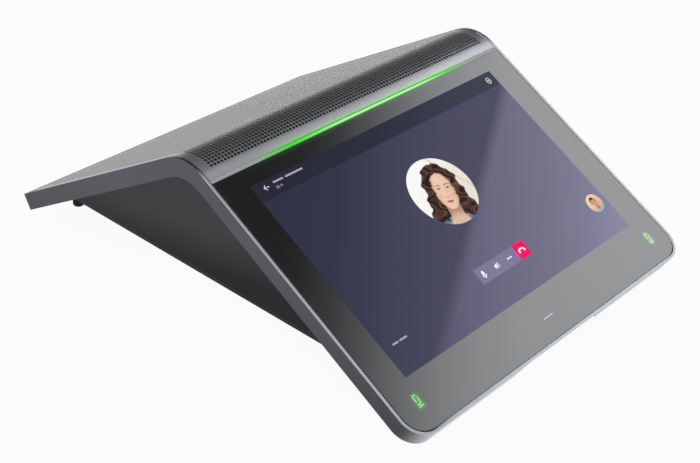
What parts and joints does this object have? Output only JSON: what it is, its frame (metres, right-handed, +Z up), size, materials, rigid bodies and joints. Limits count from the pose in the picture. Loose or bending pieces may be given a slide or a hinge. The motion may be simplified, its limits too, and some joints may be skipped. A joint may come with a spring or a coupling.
{
  "type": "desk ip phone",
  "caption": "Tent-shaped desk phone with a sloping touch display, a perforated speaker ridge over a dark core, a thin light bar and rear sockets.",
  "frame": {"origin": "centre of the bounding box, on the table under the feet", "axes": "+X to the right seen from the front, +Y from the display's lip to the rear edge, +Z up"},
  "size_m": [0.181, 0.238, 0.0752],
  "materials": {
    "frame": "anodised satin, dark grey",
    "skin": "fine brushed satin",
    "cloth": "matt black",
    "glass": "gloss",
    "diffuser": "translucent",
    "board_green": "solder mask",
    "board_white": "white solder mask",
    "display": "dark polariser",
    "steel": "bright sheet",
    "housing": "fine grain",
    "base": "matt dark grey",
    "rubber": "matt black",
    "screw": "zinc",
    "brass": "plain",
    "chip": "moulded",
    "sink": "bare",
    "socket": "nickel",
    "flex": "polyimide",
    "inner_plastic": "moulded",
    "lead": "insulated",
    "magnet": "coated",
    "cone": "pressed paper",
    "button": "light grey"
  },
  "bodies": {
    "phone": {"top_frame": "frame", "grille_skin": "skin", "acoustic_cloth": "cloth", "cover_glass": "glass", "light_bar": "diffuser", "light_board": "board_white", "display_panel": "display", "display_tray": "steel", "mute_key_boards": "board_green", "mic_boards": "board_green", "mic_boots": "rubber", "core_housing": "housing", "base_plate": "base", "rubber_feet": "rubber", "base_screws": "screw", "main_board": "board_green", "board_standoffs": "brass", "board_screws": "screw", "processor": "chip", "heat_sink": "sink", "shield_cans": "steel", "power_parts": "chip", "antenna": "brass", "display_cable": "flex", "port_panel": "inner_plastic", "lan_jack_left": "socket", "lan_jack_right": "socket", "hdmi_jack_in": "socket", "hdmi_jack_out": "socket", "usb_jack": "socket", "lock_insert": "steel", "reset_switch": "inner_plastic", "speaker_box": "inner_plastic", "speaker_leads": "lead", "speaker_screws": "screw", "speaker_frame_left": "steel", "speaker_frame_right": "steel", "magnet_left": "magnet", "magnet_right": "magnet", "surround_left": "rubber", "surround_right": "rubber"},
    "reset": {"reset_button": "button"},
    "left_cone": {"cone_left": "cone"},
    "right_cone": {"cone_right": "cone"}
  },
  "joints": [
    {"name": "reset_press", "type": "slide", "parent": "phone", "child": "reset", "axis": [0, 0, 1], "range_m": [0, 0.0005], "stiffness_N_per_m": 3000, "springref_m": -0.0002},
    {"name": "left_cone_stroke", "type": "slide", "parent": "phone", "child": "left_cone", "axis": [0, 0, 1], "range_m": [-0.0008, 0.0008], "stiffness_N_per_m": 1500, "deforming": ["surround_left"]},
    {"name": "right_cone_stroke", "type": "slide", "parent": "phone", "child": "right_cone", "axis": [0, 0, 1], "range_m": [-0.0008, 0.0008], "stiffness_N_per_m": 1500, "deforming": ["surround_right"]}
  ]
}
